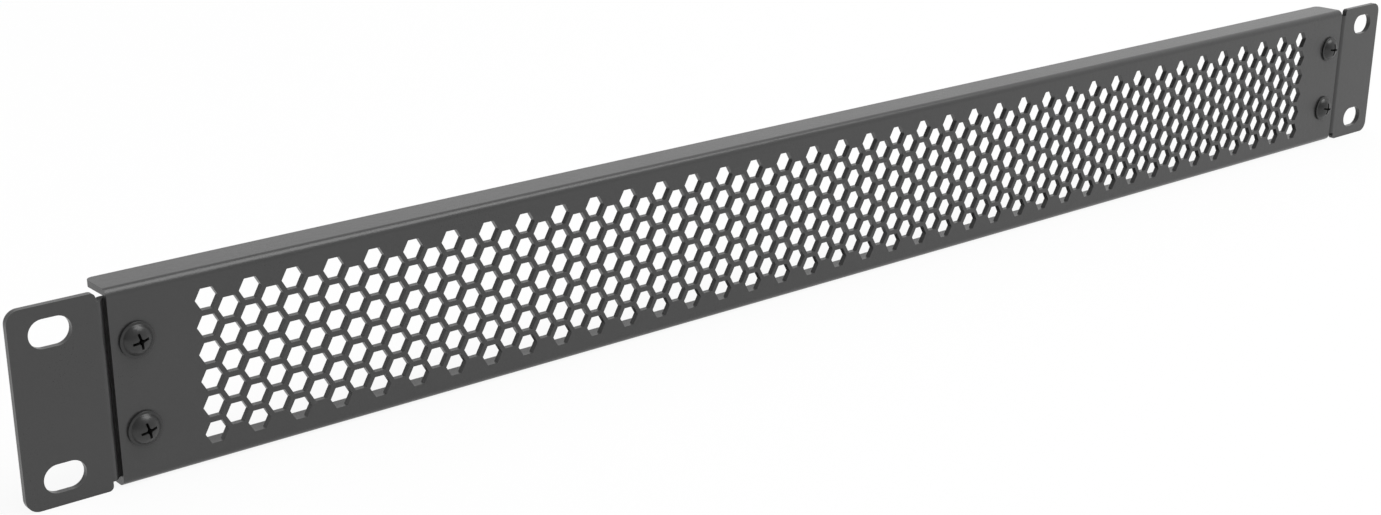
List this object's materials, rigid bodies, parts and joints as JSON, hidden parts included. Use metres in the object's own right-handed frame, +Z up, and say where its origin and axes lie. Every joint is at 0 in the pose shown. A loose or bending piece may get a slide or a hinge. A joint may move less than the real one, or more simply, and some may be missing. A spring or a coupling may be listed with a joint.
{
  "type": "rack blanking panel",
  "caption": "Vented blanking panel for a 19-inch rack: a folded steel channel with honeycomb vents and a slotted ear screwed behind each end.",
  "frame": {"origin": "middle of the four rack slots, on the back of the ears' tabs, which is the plane that seats on the rack posts", "axes": "+X along the panel to the right as seen from the front, +Y from the front into the rack, +Z up"},
  "size_m": [0.483, 0.0124, 0.044],
  "materials": {
    "powder_coat": "satin dark grey powder coat",
    "black_screw": "satin black"
  },
  "bodies": {
    "root": {"panel": "powder_coat", "ear_left": "powder_coat", "ear_right": "powder_coat", "screw_left_top": "black_screw", "screw_left_bottom": "black_screw", "screw_right_top": "black_screw", "screw_right_bottom": "black_screw", "nut_left_top": "powder_coat", "nut_left_bottom": "powder_coat", "nut_right_top": "powder_coat", "nut_right_bottom": "powder_coat"}
  },
  "joints": []
}
